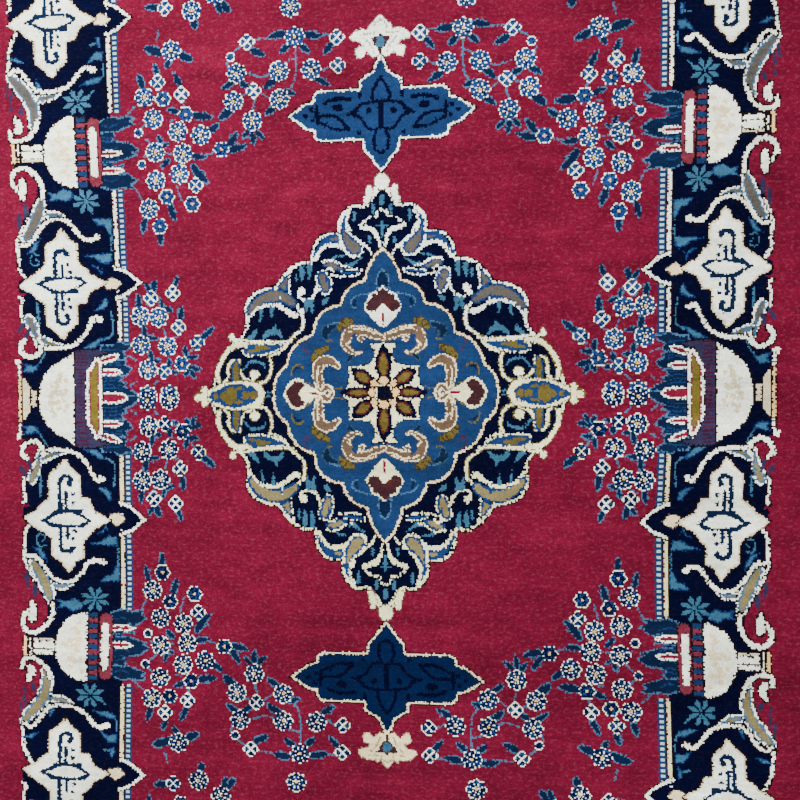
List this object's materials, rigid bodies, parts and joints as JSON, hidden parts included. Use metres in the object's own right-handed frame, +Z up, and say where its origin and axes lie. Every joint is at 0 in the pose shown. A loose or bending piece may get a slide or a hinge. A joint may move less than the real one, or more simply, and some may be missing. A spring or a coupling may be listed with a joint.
{
  "type": "persian rug",
  "caption": "Hand-knotted wool rug lying flat, medallion field and wide patterned border, overcast sides and short fringed ends.",
  "frame": {"origin": "centre of the underside, on the surface that the rug lies on", "axes": "+Y along the length of the rug, which is up in the picture, +X across it to the right in the picture, +Z up out of the pile"},
  "size_m": [1.3706, 2.2436, 0.01],
  "materials": {
    "wool_pile": "short cut wool pile, matt with a slight bloom",
    "wool_overcast": "wool yarn wrapped round the side cords, matt",
    "cotton_warp": "undyed cotton yarn, matt"
  },
  "bodies": {
    "root": {"rug_body": "wool_pile", "selvedge_left": "wool_overcast", "selvedge_right": "wool_overcast", "fringe_far": "cotton_warp", "fringe_near": "cotton_warp"}
  },
  "joints": []
}
